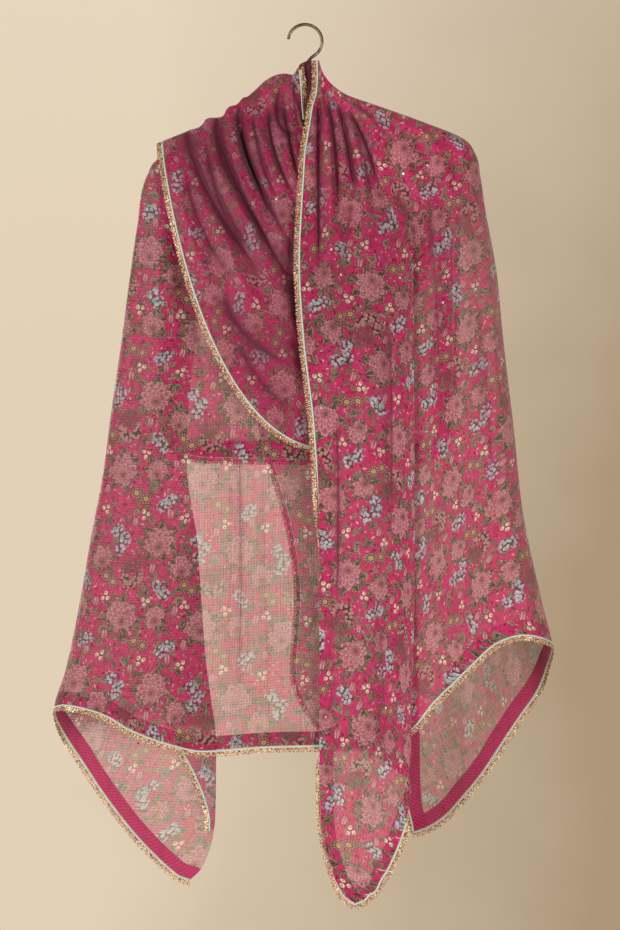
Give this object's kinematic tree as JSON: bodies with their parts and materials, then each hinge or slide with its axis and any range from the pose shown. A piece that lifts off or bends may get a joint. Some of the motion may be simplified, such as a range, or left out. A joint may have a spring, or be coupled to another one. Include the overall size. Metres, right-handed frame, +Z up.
{
  "type": "dupatta stole wound about a wooden hanger with a wire hook",
  "caption": "long rectangular printed sheer stole draped over a plain hanger: cross-folded cowl, back yoke, two open wraps with pointed tails, fringed and piped edges",
  "frame": {"origin": "crown of the hook on the inside of the wire, where a rail carries it", "axes": "+Z up and along the length, -Y to the front of the drape, +X to the viewer's right when facing the front"},
  "size_m": [0.7039, 0.1341, 1.2365],
  "materials": {
    "cloth": "sheer plain weave with a small floral print, semi-matte",
    "facing": "plain matte twill",
    "piping": "satin",
    "fringe": "twisted thread with a dull metallic glint",
    "wood": "satin lacquer",
    "wire": "aged, dull"
  },
  "bodies": {
    "root": {"back_yoke": "cloth", "cowl": "cloth", "left_back": "cloth", "left_front": "cloth", "left_inner": "cloth", "left_roll": "cloth", "right_back": "cloth", "right_front": "cloth", "facing_cowl": "facing", "facing_left_hem": "facing", "facing_right_back": "facing", "facing_right_front": "facing", "facing_yoke": "facing", "piping_cowl": "piping", "piping_left_hem": "piping", "piping_left_inner": "piping", "piping_left_roll": "piping", "piping_right_back": "piping", "piping_right_front": "piping", "piping_yoke": "piping", "fringe_cowl": "fringe", "fringe_left_hem": "fringe", "fringe_left_inner": "fringe", "fringe_left_roll": "fringe", "fringe_right_back": "fringe", "fringe_right_front": "fringe", "fringe_yoke": "fringe", "hanger": "wood", "hook": "wire"}
  },
  "joints": []
}
